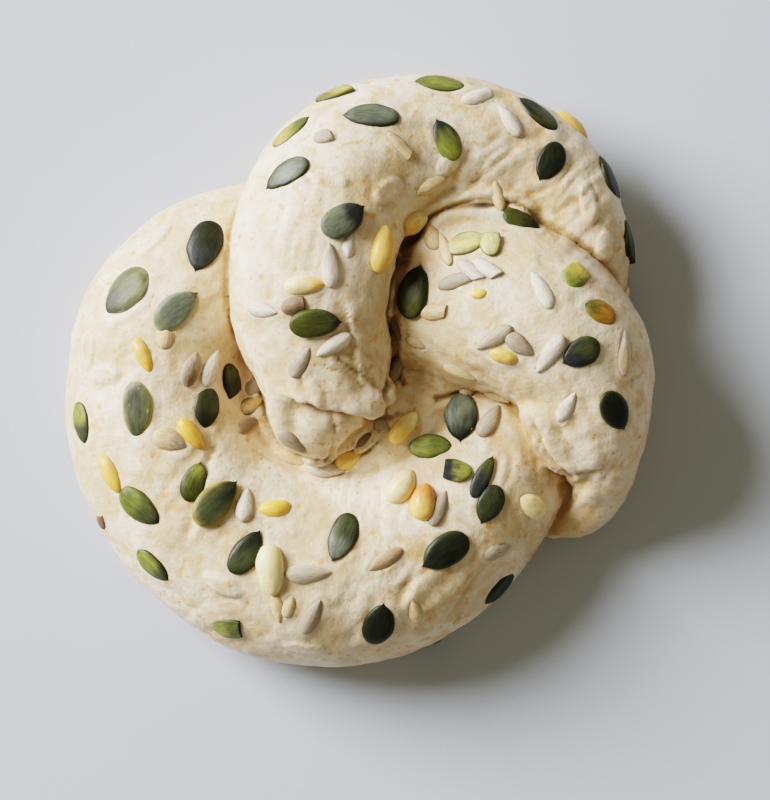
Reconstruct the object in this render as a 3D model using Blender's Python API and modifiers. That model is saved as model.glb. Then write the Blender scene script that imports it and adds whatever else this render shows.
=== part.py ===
"""A filled knot bread, shaped and seeded but not yet baked.

One thick rope of soft dough is tied in an overhand knot. Its first end lies on top and
dips into the middle, and its last end is tucked under the right-hand side. Pumpkin
seeds, sunflower kernels and pine nuts are pressed into the skin, so that dough and
seeds are one body. The bread lies on the plane z = 0, with +Z up.
"""

import math
import random

import bmesh
import bpy
from mathutils import Matrix, Vector
from mathutils.bvhtree import BVHTree

MM = 0.001

# The rope of dough. A station is x, y, the height of its upper skin and its width, in
# millimetres. They run from the end that lies on top to the end that is tucked under.
ROPE = (
    (-10, -19, 32, 10),
    (-10, -13, 37.5, 20),
    (-9, -7, 41.5, 29),
    (-9, 2, 45, 35),
    (-10.5, 13, 48, 40.5),
    (-10, 27, 51, 43.5),
    (-7, 41, 49, 42),
    (1, 50.5, 44, 40),
    (12, 54.8, 39, 38),
    (25, 56, 35, 35.5),
    (39, 52.3, 32, 33),
    (50, 43.5, 30, 29),
    (54, 30, 28, 28),
    (52, 15, 25, 28),
    (45, 0, 24, 32),
    (36, -15, 28, 41),
    (26, -31, 31, 47),
    (12, -43.5, 33, 50),
    (-5, -48, 34, 52),
    (-22, -45.5, 34, 52),
    (-38, -35, 34, 49),
    (-48, -20, 34, 47.5),
    (-50.5, -4, 34, 45.5),
    (-48.5, 11.5, 34, 43),
    (-39, 23, 33, 40),
    (-26, 29, 30, 37),
    (-11, 28, 27, 34),
    (4, 25, 31, 36),
    (18, 21, 38, 41),
    (32, 17.5, 43, 44.5),
    (45, 12, 45, 42.5),
    (54, 2, 43, 38),
    (58.5, -11, 38, 30),
    (60, -21, 30, 21),
    (59.8, -29, 21, 15.5),
    (56, -34.5, 16, 14),
    (50, -36.2, 13, 12),
)
# Short ropes, given like the big one. The folds lie on its two ends. The fillers close
# the middle of the knot, and fill it out under the strands that cross over others.
FOLDS = (
    ((-5, -5, 42, 9), (1, -6, 40.5, 12), (5, -5, 37, 9)),
    ((-18, -1, 41, 9), (-18, -9, 38, 9), (-15.5, -15.5, 34, 9), (-12, -19, 30, 7)),
    ((46.5, -9, 37.5, 14), (50, -15, 35, 15), (52, -19.5, 32, 12.5)),
)
FILLERS = (
    ((-32, 2, 19, 26), (-16, -14, 23, 30), (8, -12, 28, 36), (24, 2, 24, 32)),
    ((-26, 10, 21, 28), (-8, 4, 22, 32), (10, 8, 22, 32)),
    ((-4, 38, 24, 36), (8, 47, 21, 32), (25, 54, 20, 30), (40, 50, 22, 30)),
    ((40, 49, 24, 32), (49, 40, 23, 30), (52, 28, 22, 28), (50, 14, 22, 30)),
    ((42, 6, 24, 34), (51, -4, 24, 34), (55, -16, 20, 26), (54, -27, 14, 18)),
    ((18, 30, 24, 30), (36, 28, 26, 32)),
    ((10, 20, 32, 16), (12, 31, 33, 16), (19, 38.5, 34, 14), (29, 41.5, 34, 13), (39, 40.5, 32, 12)),
)
ROUNDNESS = 0.85  # height of a rope's section over its width
SAMPLES_PER_STATION = 6
BEVEL_RESOLUTION = 14  # gives a rope 32 sides

SKIN_VOXEL = 1.1 * MM
SKIN_SMOOTHING = 4
DOUGH_FACES = 4600
BASE_DEPTH = 30 * MM  # of the block that cuts the underside flat
SMOOTH_ANGLE = math.radians(40)

# The seeds are placed as they are seen from straight above, in pixels of a view 770
# wide and 800 high. A pixel is a quarter of a millimetre at the height VIEW_PLANE.
PIXEL = 0.25 * MM
VIEW_CENTRE = (385, 400)
LOAF_CENTRE = (358, 372)
VIEW_PLANE = 18 * MM
EYE_HEIGHT = 900 * MM

# A seed is its pixel across and down, the bearing of its tip, its length and its width.
# Bearings are in degrees, turning left from the right-hand side. Sizes are millimetres.
PUMPKIN_SEEDS = (
    (204, 247, 252, 14.2, 8.7),
    (125, 293, 223, 15.5, 10),
    (177, 310, 41, 13.8, 7.6),
    (370, 116, 183, 14.5, 7.5),
    (286, 175, 207, 13.5, 7),
    (292, 131, 43, 12.5, 7),
    (334, 95, 210, 11.5, 7),
    (438, 84, 183, 13.2, 7.5),
    (446, 139, 117, 11.5, 6.4),
    (537, 113, 130, 12.8, 7),
    (549, 162, 239, 11, 7),
    (610, 177, 118, 12.5, 7),
    (632, 239, 270, 10, 7),
    (343, 219, 32, 12.6, 8.4),
    (316, 323, 2, 13.2, 7.4),
    (415, 291, 75, 14, 9),
    (468, 243, 20, 10.8, 6.4),
    (491, 246, 90, 6.5, 5.4),
    (523, 221, 340, 10.8, 6.2),
    (575, 277, 45, 7, 6.4),
    (599, 312, 162, 9.6, 6),
    (580, 353, 209, 10.6, 7),
    (615, 412, 306, 11.8, 7.6),
    (651, 352, 270, 13.5, 7),
    (461, 419, 270, 13, 8.6),
    (432, 447, 0, 11.6, 6.4),
    (460, 470, 120, 6.2, 6),
    (485, 475, 63, 11.8, 6),
    (489, 505, 245, 10.6, 6.6),
    (444, 552, 212, 13.8, 8.6),
    (499, 589, 208, 11.8, 7),
    (378, 623, 80, 12.4, 8),
    (341, 538, 250, 13.4, 7),
    (217, 502, 46, 15, 8.6),
    (194, 481, 70, 10.6, 6.2),
    (141, 507, 321, 13.4, 7.8),
    (154, 566, 315, 11.6, 6.8),
    (246, 551, 56, 13.2, 7),
    (227, 628, 20, 8, 7),
    (136, 411, 270, 15.4, 8.2),
    (82, 424, 282, 11.6, 6.6),
    (207, 409, 260, 11, 6.8),
    (230, 377, 80, 7.2, 5.6),
)
SUNFLOWER_SEEDS = (
    (155, 238, 45, 9.2, 4.2),
    (88, 348, 85, 9.6, 4.2),
    (104, 374, 0, 8, 4.2),
    (191, 369, 70, 9.2, 4.4),
    (211, 368, 62, 10.2, 4.2),
    (248, 426, 30, 8.8, 4),
    (172, 440, 340, 9, 5),
    (292, 442, 305, 9, 4.2),
    (326, 469, 355, 9.6, 4),
    (399, 144, 320, 8, 3.8),
    (388, 190, 25, 9, 5),
    (430, 187, 195, 9.6, 4),
    (476, 97, 35, 8.8, 4.6),
    (509, 121, 120, 9.4, 4),
    (498, 195, 100, 8.4, 3.6),
    (588, 202, 105, 9.4, 4.2),
    (604, 246, 90, 8, 4.4),
    (330, 265, 92, 11, 4.6),
    (262, 310, 0, 8.8, 4),
    (301, 362, 60, 9.2, 4.2),
    (333, 345, 210, 10, 4),
    (453, 282, 15, 8.2, 4),
    (486, 268, 320, 8, 4),
    (433, 312, 5, 7.2, 4.2),
    (541, 290, 115, 10.6, 4.2),
    (494, 338, 214, 11, 4.2),
    (520, 344, 320, 8.6, 4.4),
    (550, 354, 236, 11.6, 4.6),
    (625, 352, 85, 13, 4.4),
    (567, 407, 63, 9.2, 3.8),
    (460, 373, 342, 9.2, 4),
    (489, 421, 60, 9.4, 4.4),
    (439, 508, 68, 9.8, 4),
    (499, 551, 5, 8.8, 4.4),
    (385, 560, 212, 10.2, 4.2),
    (308, 573, 2, 11.6, 4.8),
    (245, 505, 80, 8.8, 4.4),
    (222, 585, 332, 9.8, 4.4),
    (277, 608, 275, 8.4, 3.6),
    (312, 617, 68, 10.4, 4.4),
    (305, 648, 348, 10, 4.2),
    (415, 611, 108, 7.6, 3.6),
)
PINE_NUTS = (
    (381, 249, 76, 12, 6.4),
    (412, 221, 180, 7.5, 6.2),
    (305, 285, 5, 10, 4.8),
    (143, 355, 295, 9.4, 4),
    (191, 434, 310, 9.2, 4.2),
    (111, 474, 300, 10.8, 4.8),
    (274, 508, 190, 8.4, 4.4),
    (271, 570, 275, 13, 7),
    (404, 427, 50, 10, 4.8),
    (349, 459, 25, 7.4, 4.4),
    (401, 487, 60, 10.2, 6.4),
    (424, 502, 265, 9.2, 6.4),
    (532, 506, 150, 9.4, 6),
    (575, 122, 325, 10.6, 5),
)
# The length and width of the seeds low on the sides, which are spread all round in turn,
# between two heights.
SIDE_SIZES = {"pumpkin": (12, 7), "sunflower": (9.2, 4.2), "pine": (9.2, 3.8)}
SIDE_SEEDS = 12
SIDE_HEIGHTS = (4.5 * MM, 8 * MM)
SIDE_START = 100 * MM  # how far out the search for the side of the loaf starts
DRAW = 7  # starts the random draw of their heights and leans

# A kind's thickness over its width.
FLATNESS = {"pumpkin": 0.36, "sunflower": 0.6, "pine": 0.9}
SUNK = 0.48  # the share of a seed's thickness that lies in the dough
SEED_SIDES = 8
SEED_RINGS = 3
TIP_SHARPNESS = 0.45

DOUGH_COLOUR = (0.72, 0.6, 0.4, 1)
DOUGH_ROUGHNESS = 0.55


def clear_scene():
    for thing in list(bpy.data.objects):
        bpy.data.objects.remove(thing)


def new_collection(name):
    made = bpy.data.collections.new(name)
    bpy.context.scene.collection.children.link(made)
    return made


def catmull_rom(before, start, end, after, share):
    """The value at this share of the way from start to end, on a smooth curve."""
    return 0.5 * (
        2 * start
        + (end - before) * share
        + (2 * before - 5 * start + 4 * end - after) * share**2
        + (3 * (start - end) + after - before) * share**3
    )


def smooth_route(stations):
    """Points along a rope as (x, y, height of the middle, radius), in metres."""
    middles = []
    for x, y, top, width in stations:
        middle = top - ROUNDNESS * width / 2
        middles.append(Vector((x, y, middle, width / 2)) * MM)
    padded = [2 * middles[0] - middles[1], *middles, 2 * middles[-1] - middles[-2]]
    route = []
    for before, start, end, after in zip(padded, padded[1:], padded[2:], padded[3:]):
        for step in range(SAMPLES_PER_STATION):
            share = step / SAMPLES_PER_STATION
            route.append(catmull_rom(before, start, end, after, share))
    return [*route, middles[-1]]


def add_rope(mesh, route):
    """Adds a rope with round ends to a bmesh, stretched upwards by 1 / ROUNDNESS."""
    curve = bpy.data.curves.new("rope", "CURVE")
    curve.dimensions = "3D"
    curve.bevel_depth = 1
    curve.bevel_resolution = BEVEL_RESOLUTION
    curve.use_fill_caps = True
    spline = curve.splines.new("POLY")
    spline.points.add(len(route) - 1)
    for point, (x, y, z, radius) in zip(spline.points, route):
        point.co = (x, y, z / ROUNDNESS, 1)
        point.radius = radius
    holder = bpy.data.objects.new("rope", curve)
    bpy.context.scene.collection.objects.link(holder)
    graph = bpy.context.evaluated_depsgraph_get()
    tube = bpy.data.meshes.new_from_object(holder.evaluated_get(graph))
    mesh.from_mesh(tube)
    bpy.data.objects.remove(holder)
    for x, y, z, radius in (route[0], route[-1]):
        place = Matrix.Translation((x, y, z / ROUNDNESS))
        bmesh.ops.create_uvsphere(
            mesh, u_segments=32, v_segments=16, radius=radius, matrix=place
        )


def object_from(name, mesh, collection):
    """A new object for this bmesh, in this collection."""
    data = bpy.data.meshes.new(name)
    mesh.to_mesh(data)
    mesh.free()
    made = bpy.data.objects.new(name, data)
    collection.objects.link(made)
    return made


def apply_modifiers(thing):
    graph = bpy.context.evaluated_depsgraph_get()
    data = bpy.data.meshes.new_from_object(thing.evaluated_get(graph))
    thing.modifiers.clear()
    thing.data = data


def shells_of(mesh):
    """The sets of vertices of a bmesh that hang together, the smallest set first."""
    unseen = set(mesh.verts)
    shells = []
    while unseen:
        shell, waiting = set(), [unseen.pop()]
        while waiting:
            vertex = waiting.pop()
            shell.add(vertex)
            near = {edge.other_vert(vertex) for edge in vertex.link_edges} & unseen
            unseen -= near
            waiting.extend(near)
        shells.append(shell)
    return sorted(shells, key=len)


def keep_largest_shell(thing):
    """Fills the hollows that the body encloses, by dropping all but its outer skin."""
    mesh = bmesh.new()
    mesh.from_mesh(thing.data)
    for shell in shells_of(mesh)[:-1]:
        bmesh.ops.delete(mesh, geom=list(shell), context="VERTS")
    mesh.to_mesh(thing.data)
    mesh.free()


def make_dough(collection):
    """The knotted rope, its folds and its fillers, fused to one skin."""
    ropes = bmesh.new()
    for stations in (ROPE, *FOLDS, *FILLERS):
        add_rope(ropes, smooth_route(stations))
    bmesh.ops.remove_doubles(ropes, verts=ropes.verts, dist=0.001 * MM)
    bmesh.ops.scale(ropes, vec=(1, 1, ROUNDNESS), verts=ropes.verts)
    dough = object_from("knot_dough", ropes, collection)
    skin = dough.modifiers.new("skin", "REMESH")
    skin.mode = "VOXEL"
    skin.voxel_size = SKIN_VOXEL
    apply_modifiers(dough)
    keep_largest_shell(dough)
    slack = dough.modifiers.new("slack", "SMOOTH")
    slack.factor = 0.5
    slack.iterations = SKIN_SMOOTHING
    coarse = dough.modifiers.new("coarse", "DECIMATE")
    coarse.ratio = DOUGH_FACES / (2 * len(dough.data.polygons))
    apply_modifiers(dough)
    return dough


def on_view_plane(across, down):
    """The point at the height VIEW_PLANE that is seen at this pixel."""
    x = (across - LOAF_CENTRE[0]) * PIXEL
    y = (LOAF_CENTRE[1] - down) * PIXEL
    return Vector((x, y, VIEW_PLANE))


def seen_at(dough_tree, across, down):
    """The point and normal of the dough at this pixel, or on its nearest side."""
    eye = on_view_plane(*VIEW_CENTRE)
    eye.z = EYE_HEIGHT
    target = on_view_plane(across, down)
    point, normal, _, _ = dough_tree.ray_cast(eye, target - eye)
    if point is None:
        point, normal, _, _ = dough_tree.find_nearest(target)
    return point, normal


def top_perch(dough_tree, across, down, bearing, length, width):
    """Where a seed seen from above lies: its point, its outward and its tip direction.

    They are averaged over the middle, the ends and the sides of the seed.
    """
    turn = math.radians(bearing)
    reach = Vector((math.cos(turn), -math.sin(turn))) * 0.3 * length * MM / PIXEL
    spread = Vector((math.sin(turn), math.cos(turn))) * 0.3 * width * MM / PIXEL
    point, outward = Vector(), Vector()
    for step in (Vector((0, 0)), reach, -reach, spread, -spread):
        spot, normal = seen_at(dough_tree, across + step.x, down + step.y)
        point += spot / 5
        outward += normal
    return point, outward.normalized(), Vector((math.cos(turn), math.sin(turn), 0))


def side_perch(dough_tree, bearing, height, lean):
    """Where a seed on the side of the loaf lies, as top_perch gives it."""
    away = Vector((math.cos(bearing), math.sin(bearing), 0))
    start = away * SIDE_START + Vector((0, 0, height))
    point, outward, _, _ = dough_tree.ray_cast(start, -away)
    level = Vector((-away.y, away.x, 0))
    return point, outward, level * math.cos(lean) + Vector((0, 0, math.sin(lean)))


def add_seed(kind, perch, length, width, seeds):
    """Adds one drop-shaped seed to the collection, its tip along its local x axis."""
    thickness = FLATNESS[kind] * width
    point, outward, heading = perch
    along = (heading - outward * heading.dot(outward)).normalized()
    turn = Matrix((along, outward.cross(along), outward)).transposed().to_4x4()
    middle = point + outward * (0.5 - SUNK) * thickness * MM
    mesh = bmesh.new()
    bmesh.ops.create_uvsphere(
        mesh, u_segments=SEED_SIDES, v_segments=SEED_RINGS, radius=0.5
    )
    fullness = 1 / math.sin(math.pi / SEED_RINGS)
    for vertex in mesh.verts:
        vertex.co.y *= 1 - TIP_SHARPNESS * 2 * max(vertex.co.x, 0)
    size = Vector((length * fullness, width * fullness, thickness)) * MM
    bmesh.ops.scale(mesh, vec=size, verts=mesh.verts)
    seed = object_from(kind, mesh, seeds)
    seed.matrix_world = Matrix.Translation(middle) @ turn


def strew_seeds(dough, seeds):
    """Makes every seed, where it is pressed into the dough."""
    skin = bmesh.new()
    skin.from_mesh(dough.data)
    dough_tree = BVHTree.FromBMesh(skin)
    skin.free()
    kinds = {"pumpkin": PUMPKIN_SEEDS, "sunflower": SUNFLOWER_SEEDS, "pine": PINE_NUTS}
    for kind, places in kinds.items():
        for across, down, bearing, length, width in places:
            perch = top_perch(dough_tree, across, down, bearing, length, width)
            add_seed(kind, perch, length, width, seeds)
    draw = random.Random(DRAW)
    for number in range(SIDE_SEEDS):
        kind = list(kinds)[number % len(kinds)]
        bearing = math.tau * (number + 0.5) / SIDE_SEEDS
        height = draw.uniform(*SIDE_HEIGHTS)
        perch = side_perch(dough_tree, bearing, height, draw.uniform(0, math.pi))
        add_seed(kind, perch, *SIDE_SIZES[kind], seeds)


def join_seeds(dough, seeds):
    """Unites the dough and the seeds to one body, then removes the separate seeds."""
    union = dough.modifiers.new("seeds", "BOOLEAN")
    union.operation = "UNION"
    union.operand_type = "COLLECTION"
    union.collection = seeds
    apply_modifiers(dough)
    for seed in list(seeds.objects):
        bpy.data.objects.remove(seed)
    bpy.data.collections.remove(seeds)
    keep_largest_shell(dough)


def cut_base(dough):
    """Slices off what lies below z = 0, so that the loaf rests on a flat face."""
    mesh = bmesh.new()
    bmesh.ops.create_cube(mesh, size=1)
    width = 2 * SIDE_START
    bmesh.ops.scale(mesh, vec=(width, width, BASE_DEPTH), verts=mesh.verts)
    bmesh.ops.translate(mesh, vec=(0, 0, -BASE_DEPTH / 2), verts=mesh.verts)
    below = object_from("below", mesh, bpy.context.scene.collection)
    cut = dough.modifiers.new("base", "BOOLEAN")
    cut.object = below
    apply_modifiers(dough)
    bpy.data.objects.remove(below)


def paint(dough):
    material = bpy.data.materials.new("raw_dough")
    material.use_nodes = True
    shader = material.node_tree.nodes["Principled BSDF"]
    shader.inputs["Base Color"].default_value = DOUGH_COLOUR
    shader.inputs["Roughness"].default_value = DOUGH_ROUGHNESS
    dough.data.materials.clear()
    dough.data.materials.append(material)
    dough.data.shade_smooth()
    dough.data.set_sharp_from_angle(angle=SMOOTH_ANGLE)


def main():
    clear_scene()
    dough = make_dough(new_collection("knot_bread"))
    seeds = new_collection("seeds")
    strew_seeds(dough, seeds)
    bpy.context.view_layer.update()
    join_seeds(dough, seeds)
    cut_base(dough)
    paint(dough)


main()
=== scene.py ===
"""The looks of the filled knot bread: raw dough studded with seeds, seen from above."""

import math
import random

import bmesh
import bpy
import numpy as np
from mathutils import Matrix, Vector, noise
from mathutils.bvhtree import BVHTree


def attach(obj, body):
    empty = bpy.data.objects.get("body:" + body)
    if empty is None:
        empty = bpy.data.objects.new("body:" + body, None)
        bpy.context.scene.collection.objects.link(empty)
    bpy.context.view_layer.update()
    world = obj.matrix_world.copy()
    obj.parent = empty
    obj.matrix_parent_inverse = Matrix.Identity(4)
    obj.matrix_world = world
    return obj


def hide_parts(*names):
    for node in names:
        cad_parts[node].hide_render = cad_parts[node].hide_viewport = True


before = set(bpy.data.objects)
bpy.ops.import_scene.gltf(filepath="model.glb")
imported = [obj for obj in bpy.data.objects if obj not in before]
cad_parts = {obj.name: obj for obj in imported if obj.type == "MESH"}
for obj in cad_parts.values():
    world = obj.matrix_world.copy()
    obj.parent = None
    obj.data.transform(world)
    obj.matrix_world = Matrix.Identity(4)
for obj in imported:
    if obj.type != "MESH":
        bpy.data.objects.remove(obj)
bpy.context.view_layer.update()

MM = 0.001
NODE = "knot_dough"

# The rope of dough. A station is x, y, the height of its upper skin and its width, in
# millimetres. They run from the end that lies on top to the end that is tucked under.
ROPE = (
    (-10, -19, 32, 10),
    (-10, -13, 37.5, 20),
    (-9, -7, 41.5, 29),
    (-9, 2, 45, 35),
    (-10.5, 13, 48, 40.5),
    (-10, 27, 51, 43.5),
    (-7, 41, 49, 42),
    (1, 50.5, 44, 40),
    (12, 54.8, 39, 38),
    (25, 56, 35, 35.5),
    (39, 52.3, 32, 33),
    (50, 43.5, 30, 29),
    (54, 30, 28, 28),
    (52, 15, 25, 28),
    (45, 0, 24, 32),
    (36, -15, 28, 41),
    (26, -31, 31, 47),
    (12, -43.5, 33, 50),
    (-5, -48, 34, 52),
    (-22, -45.5, 34, 52),
    (-38, -35, 34, 49),
    (-48, -20, 34, 47.5),
    (-50.5, -4, 34, 45.5),
    (-48.5, 11.5, 34, 43),
    (-39, 23, 33, 40),
    (-26, 29, 30, 37),
    (-11, 28, 27, 34),
    (4, 25, 31, 36),
    (18, 21, 38, 41),
    (32, 17.5, 43, 44.5),
    (45, 12, 45, 42.5),
    (54, 2, 43, 38),
    (58.5, -11, 38, 30),
    (60, -21, 30, 21),
    (59.8, -29, 21, 15.5),
    (56, -34.5, 16, 14),
    (50, -36.2, 13, 12),
)
# Short ropes, given like the big one. The folds lie on its two ends. The fillers close
# the middle of the knot, and fill it out under the strands that cross over others.
FOLDS = (
    ((-5, -5, 42, 9), (1, -6, 40.5, 12), (5, -5, 37, 9)),
    ((-18, -1, 41, 9), (-18, -9, 38, 9), (-15.5, -15.5, 34, 9), (-12, -19, 30, 7)),
    ((46.5, -9, 37.5, 14), (50, -15, 35, 15), (52, -19.5, 32, 12.5)),
)
FILLERS = (
    ((-32, 2, 19, 26), (-16, -14, 23, 30), (8, -12, 28, 36), (24, 2, 24, 32)),
    ((-26, 10, 21, 28), (-8, 4, 22, 32), (10, 8, 22, 32)),
    ((-4, 38, 24, 36), (8, 47, 21, 32), (25, 54, 20, 30), (40, 50, 22, 30)),
    ((40, 49, 24, 32), (49, 40, 23, 30), (52, 28, 22, 28), (50, 14, 22, 30)),
    ((42, 6, 24, 34), (51, -4, 24, 34), (55, -16, 20, 26), (54, -27, 14, 18)),
    ((18, 30, 24, 30), (36, 28, 26, 32)),
    (
        (10, 20, 32, 16),
        (12, 31, 33, 16),
        (19, 38.5, 34, 14),
        (29, 41.5, 34, 13),
        (39, 40.5, 32, 12),
    ),
)
ROUNDNESS = 0.85  # height of a rope's section over its width
SAMPLES_PER_STATION = 6
BEVEL_RESOLUTION = 14  # gives a rope 32 sides
SKIN_VOXEL = 0.83 * MM
SKIN_SMOOTHING = 5
SLACK = 0.5  # how much each of these rounds of smoothing takes off

# The seeds are placed as they are seen from straight above, in pixels of a view 770
# wide and 800 high. A pixel is a quarter of a millimetre at the height VIEW_PLANE.
VIEW_SIZE = (770, 800)
PIXEL = 0.25 * MM
VIEW_CENTRE = (385, 400)
LOAF_CENTRE = (358, 372)
VIEW_PLANE = 18 * MM
EYE_HEIGHT = 900 * MM

# A seed is its pixel across and down, the bearing of its tip, its length and width in
# millimetres, its look, and how far it stands proud as a share of its thickness. A look
# may name three colours: of the body, of the tip and of the rim.
PUMPKIN_SEEDS = (
    (204, 247, 252, 14.2, 8.7, "dark/steel", 0),
    (125, 293, 223, 15.5, 9.6, "moss/dusty/chalk", -0.1),
    (177, 310, 41, 13.8, 7.6, "greyish/greyish/chalk", 0.1),
    (370, 116, 183, 14.5, 6.8, "greyish/greyish/dark", 0),
    (286, 175, 207, 13, 6.6, "greyish/green/dark", 0),
    (292, 131, 43, 12, 5.6, "straw/lime/green", 0),
    (332, 97, 30, 8.6, 6.2, "olive/straw/green", 0.5),
    (438, 84, 183, 13.2, 6, "sap/lime/green", 0),
    (446, 139, 117, 11.5, 6.4, "sap/steel", 0),
    (537, 113, 130, 12.8, 6.6, "moss/dark/dark", 0),
    (549, 162, 239, 11, 7, "dark", 0),
    (610, 177, 118, 12.5, 7, "dark/dark/green", 0),
    (632, 239, 270, 10, 7, "moss/dark", 0),
    (343, 219, 32, 12.6, 8, "greyish/steel", 0.4),
    (316, 323, 2, 13.2, 7.2, "moss/green", 0.3),
    (415, 291, 75, 14, 8, "moss/dark/dark", 0.1),
    (468, 243, 20, 10.8, 6.4, "pale/pale/lime", 0),
    (491, 246, 90, 6.5, 5.4, "pale/pale/lime", 0.3),
    (523, 221, 340, 10.8, 6, "moss/dark/green", 0),
    (575, 277, 45, 7, 6.2, "sap/straw", 0),
    (599, 312, 162, 9.6, 6, "amber/olive", 0),
    (580, 353, 209, 10.6, 7, "green/steel", 0.1),
    (615, 412, 306, 11.8, 7.2, "dark/dark/green", 0),
    (651, 352, 270, 13.5, 7, "moss/dark", 0),
    (461, 419, 270, 13, 8.4, "greyish/dark", 0.2),
    (432, 447, 0, 11.6, 6.2, "sap/lime/moss", 0.2),
    (458, 471, 170, 7, 5.6, "sap/steel", 0.2),
    (483, 476, 63, 12, 4.2, "steel/moss/dark", 0.3),
    (489, 505, 245, 10.6, 6.6, "green/green/dark", 0.1),
    (444, 552, 212, 13.8, 8.4, "dark/dark/green", 0.1),
    (499, 589, 208, 11.8, 7, "dark/dark/green", 0),
    (378, 623, 80, 12.4, 8, "dark", 0),
    (341, 538, 250, 13.4, 7, "green/greyish/dark", 0),
    (217, 502, 46, 15, 8.4, "green/dark/straw", 0.2),
    (194, 481, 70, 10.6, 6.2, "moss/sap/dark", 0.1),
    (141, 507, 321, 13.2, 7.4, "lime/green/moss", 0),
    (154, 566, 315, 11.2, 6.2, "sap/green/dark", 0),
    (246, 551, 56, 13, 7, "green/dark/dark", 0.1),
    (227, 628, 20, 8, 6.6, "sap/lime/dark", 0),
    (136, 411, 270, 15, 7.8, "dusty/dusty/pale", 0),
    (82, 424, 282, 11.2, 6, "sap/green/dark", 0),
    (207, 409, 260, 11, 6.8, "green/dark", 0),
    (230, 379, 300, 8, 6, "moss/dark/dark", 0.2),
)
SUNFLOWER_SEEDS = (
    (155, 238, 45, 9.2, 4.2, "cream", -0.35),
    (88, 348, 85, 9.6, 4.2, "cream", -0.35),
    (104, 374, 0, 8, 4.2, "cream", -0.35),
    (191, 369, 70, 9.2, 4.4, "brown/grey/grey", 0.1),
    (211, 368, 62, 10, 4, "white", 0.2),
    (248, 426, 30, 8.8, 4, "brown/brown/cream", 0.1),
    (170, 441, 340, 9.6, 5.8, "cream/grey", -0.05),
    (292, 442, 305, 9, 4.2, "grey", 0),
    (326, 469, 355, 9.6, 4, "white", 0.1),
    (399, 144, 320, 8, 3.2, "cream chip", 0),
    (388, 190, 25, 9, 5, "cream", -0.3),
    (430, 187, 195, 9.6, 4, "cream", 0.1),
    (476, 97, 35, 8.6, 4.4, "white chip", 0),
    (509, 121, 120, 9.4, 4, "white", 0.1),
    (498, 195, 100, 8.4, 3, "cream", 0.1),
    (588, 202, 105, 9.4, 4.2, "cream", -0.35),
    (604, 246, 90, 8, 4.4, "cream", -0.3),
    (330, 265, 92, 11, 4.6, "white/grey", 0.1),
    (262, 310, 0, 8.8, 4, "white", 0),
    (301, 362, 60, 9.2, 4.2, "grey", 0),
    (333, 345, 210, 10, 4, "white", 0.2),
    (453, 282, 15, 8, 3.6, "grey chip", 0.1),
    (486, 268, 320, 7.2, 3.6, "white chip", 0.2),
    (433, 312, 5, 7, 4, "cream chip", 0.1),
    (541, 290, 115, 10.6, 4.2, "white", 0),
    (494, 338, 214, 11, 4.2, "grey", 0.1),
    (520, 344, 320, 8.6, 4.4, "grey", 0.1),
    (550, 354, 236, 11.6, 4.6, "white", 0.1),
    (625, 352, 85, 12, 4.2, "cream/white/white", -0.1),
    (567, 407, 63, 9.2, 3.8, "white", 0),
    (460, 373, 342, 9.2, 4, "cream", 0),
    (489, 421, 60, 9.4, 4.4, "grey", 0.2),
    (439, 508, 68, 9.8, 4, "grey", 0.1),
    (499, 551, 5, 8.8, 4.4, "grey", -0.1),
    (385, 560, 212, 10.2, 4, "tan/tan/cream", 0),
    (308, 573, 2, 11.6, 4.6, "grey/grey/white", 0.1),
    (245, 505, 80, 8.8, 4.4, "white", 0.1),
    (222, 585, 332, 9.8, 4.4, "cream", -0.35),
    (277, 608, 275, 8.4, 3.6, "cream", 0),
    (312, 617, 68, 10.4, 4.4, "grey", 0),
    (305, 648, 348, 10, 4.2, "brown", -0.3),
    (415, 611, 108, 7.6, 3.6, "cream", 0),
    (165, 340, 80, 5, 4.4, "cream", 0),
    (253, 388, 60, 4.4, 4, "grey", 0),
    (251, 405, 30, 6.8, 3.8, "cream/yellow/brown", 0.1),
    (290, 458, 335, 9, 3.2, "cream", 0),
    (381, 425, 300, 4.6, 3.6, "grey", 0),
    (364, 440, 45, 5.5, 3.2, "brown", -0.1),
    (398, 366, 68, 9.4, 3.2, "grey", 0.1),
    (396, 325, 105, 8.8, 3.2, "brown", 0),
    (416, 343, 345, 5.8, 3.2, "cream", 0),
    (322, 137, 10, 4.6, 4, "grey", 0.1),
    (328, 178, 348, 9.2, 3.8, "cream", -0.25),
    (349, 245, 85, 6.6, 3, "white", 0),
    (293, 306, 20, 6, 4.2, "brown", 0.1),
    (445, 249, 110, 10, 2.8, "cream", 0.2),
    (468, 270, 315, 7.6, 3.4, "white chip", 0.1),
    (496, 395, 332, 7.6, 3, "cream", 0),
    (466, 390, 90, 4, 3.4, "cream", 0),
    (289, 606, 70, 6.4, 3.6, "cream", 0),
    (457, 621, 90, 3.8, 2.8, "cream", -0.1),
    (102, 522, 60, 4.2, 3.2, "brown", 0.1),
    (637, 297, 80, 3.8, 3.2, "cream", 0.1),
    (447, 165, 30, 6.2, 4.2, "cream", -0.2),
    (432, 236, 112, 9, 4.2, "cream", 0),
)
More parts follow.
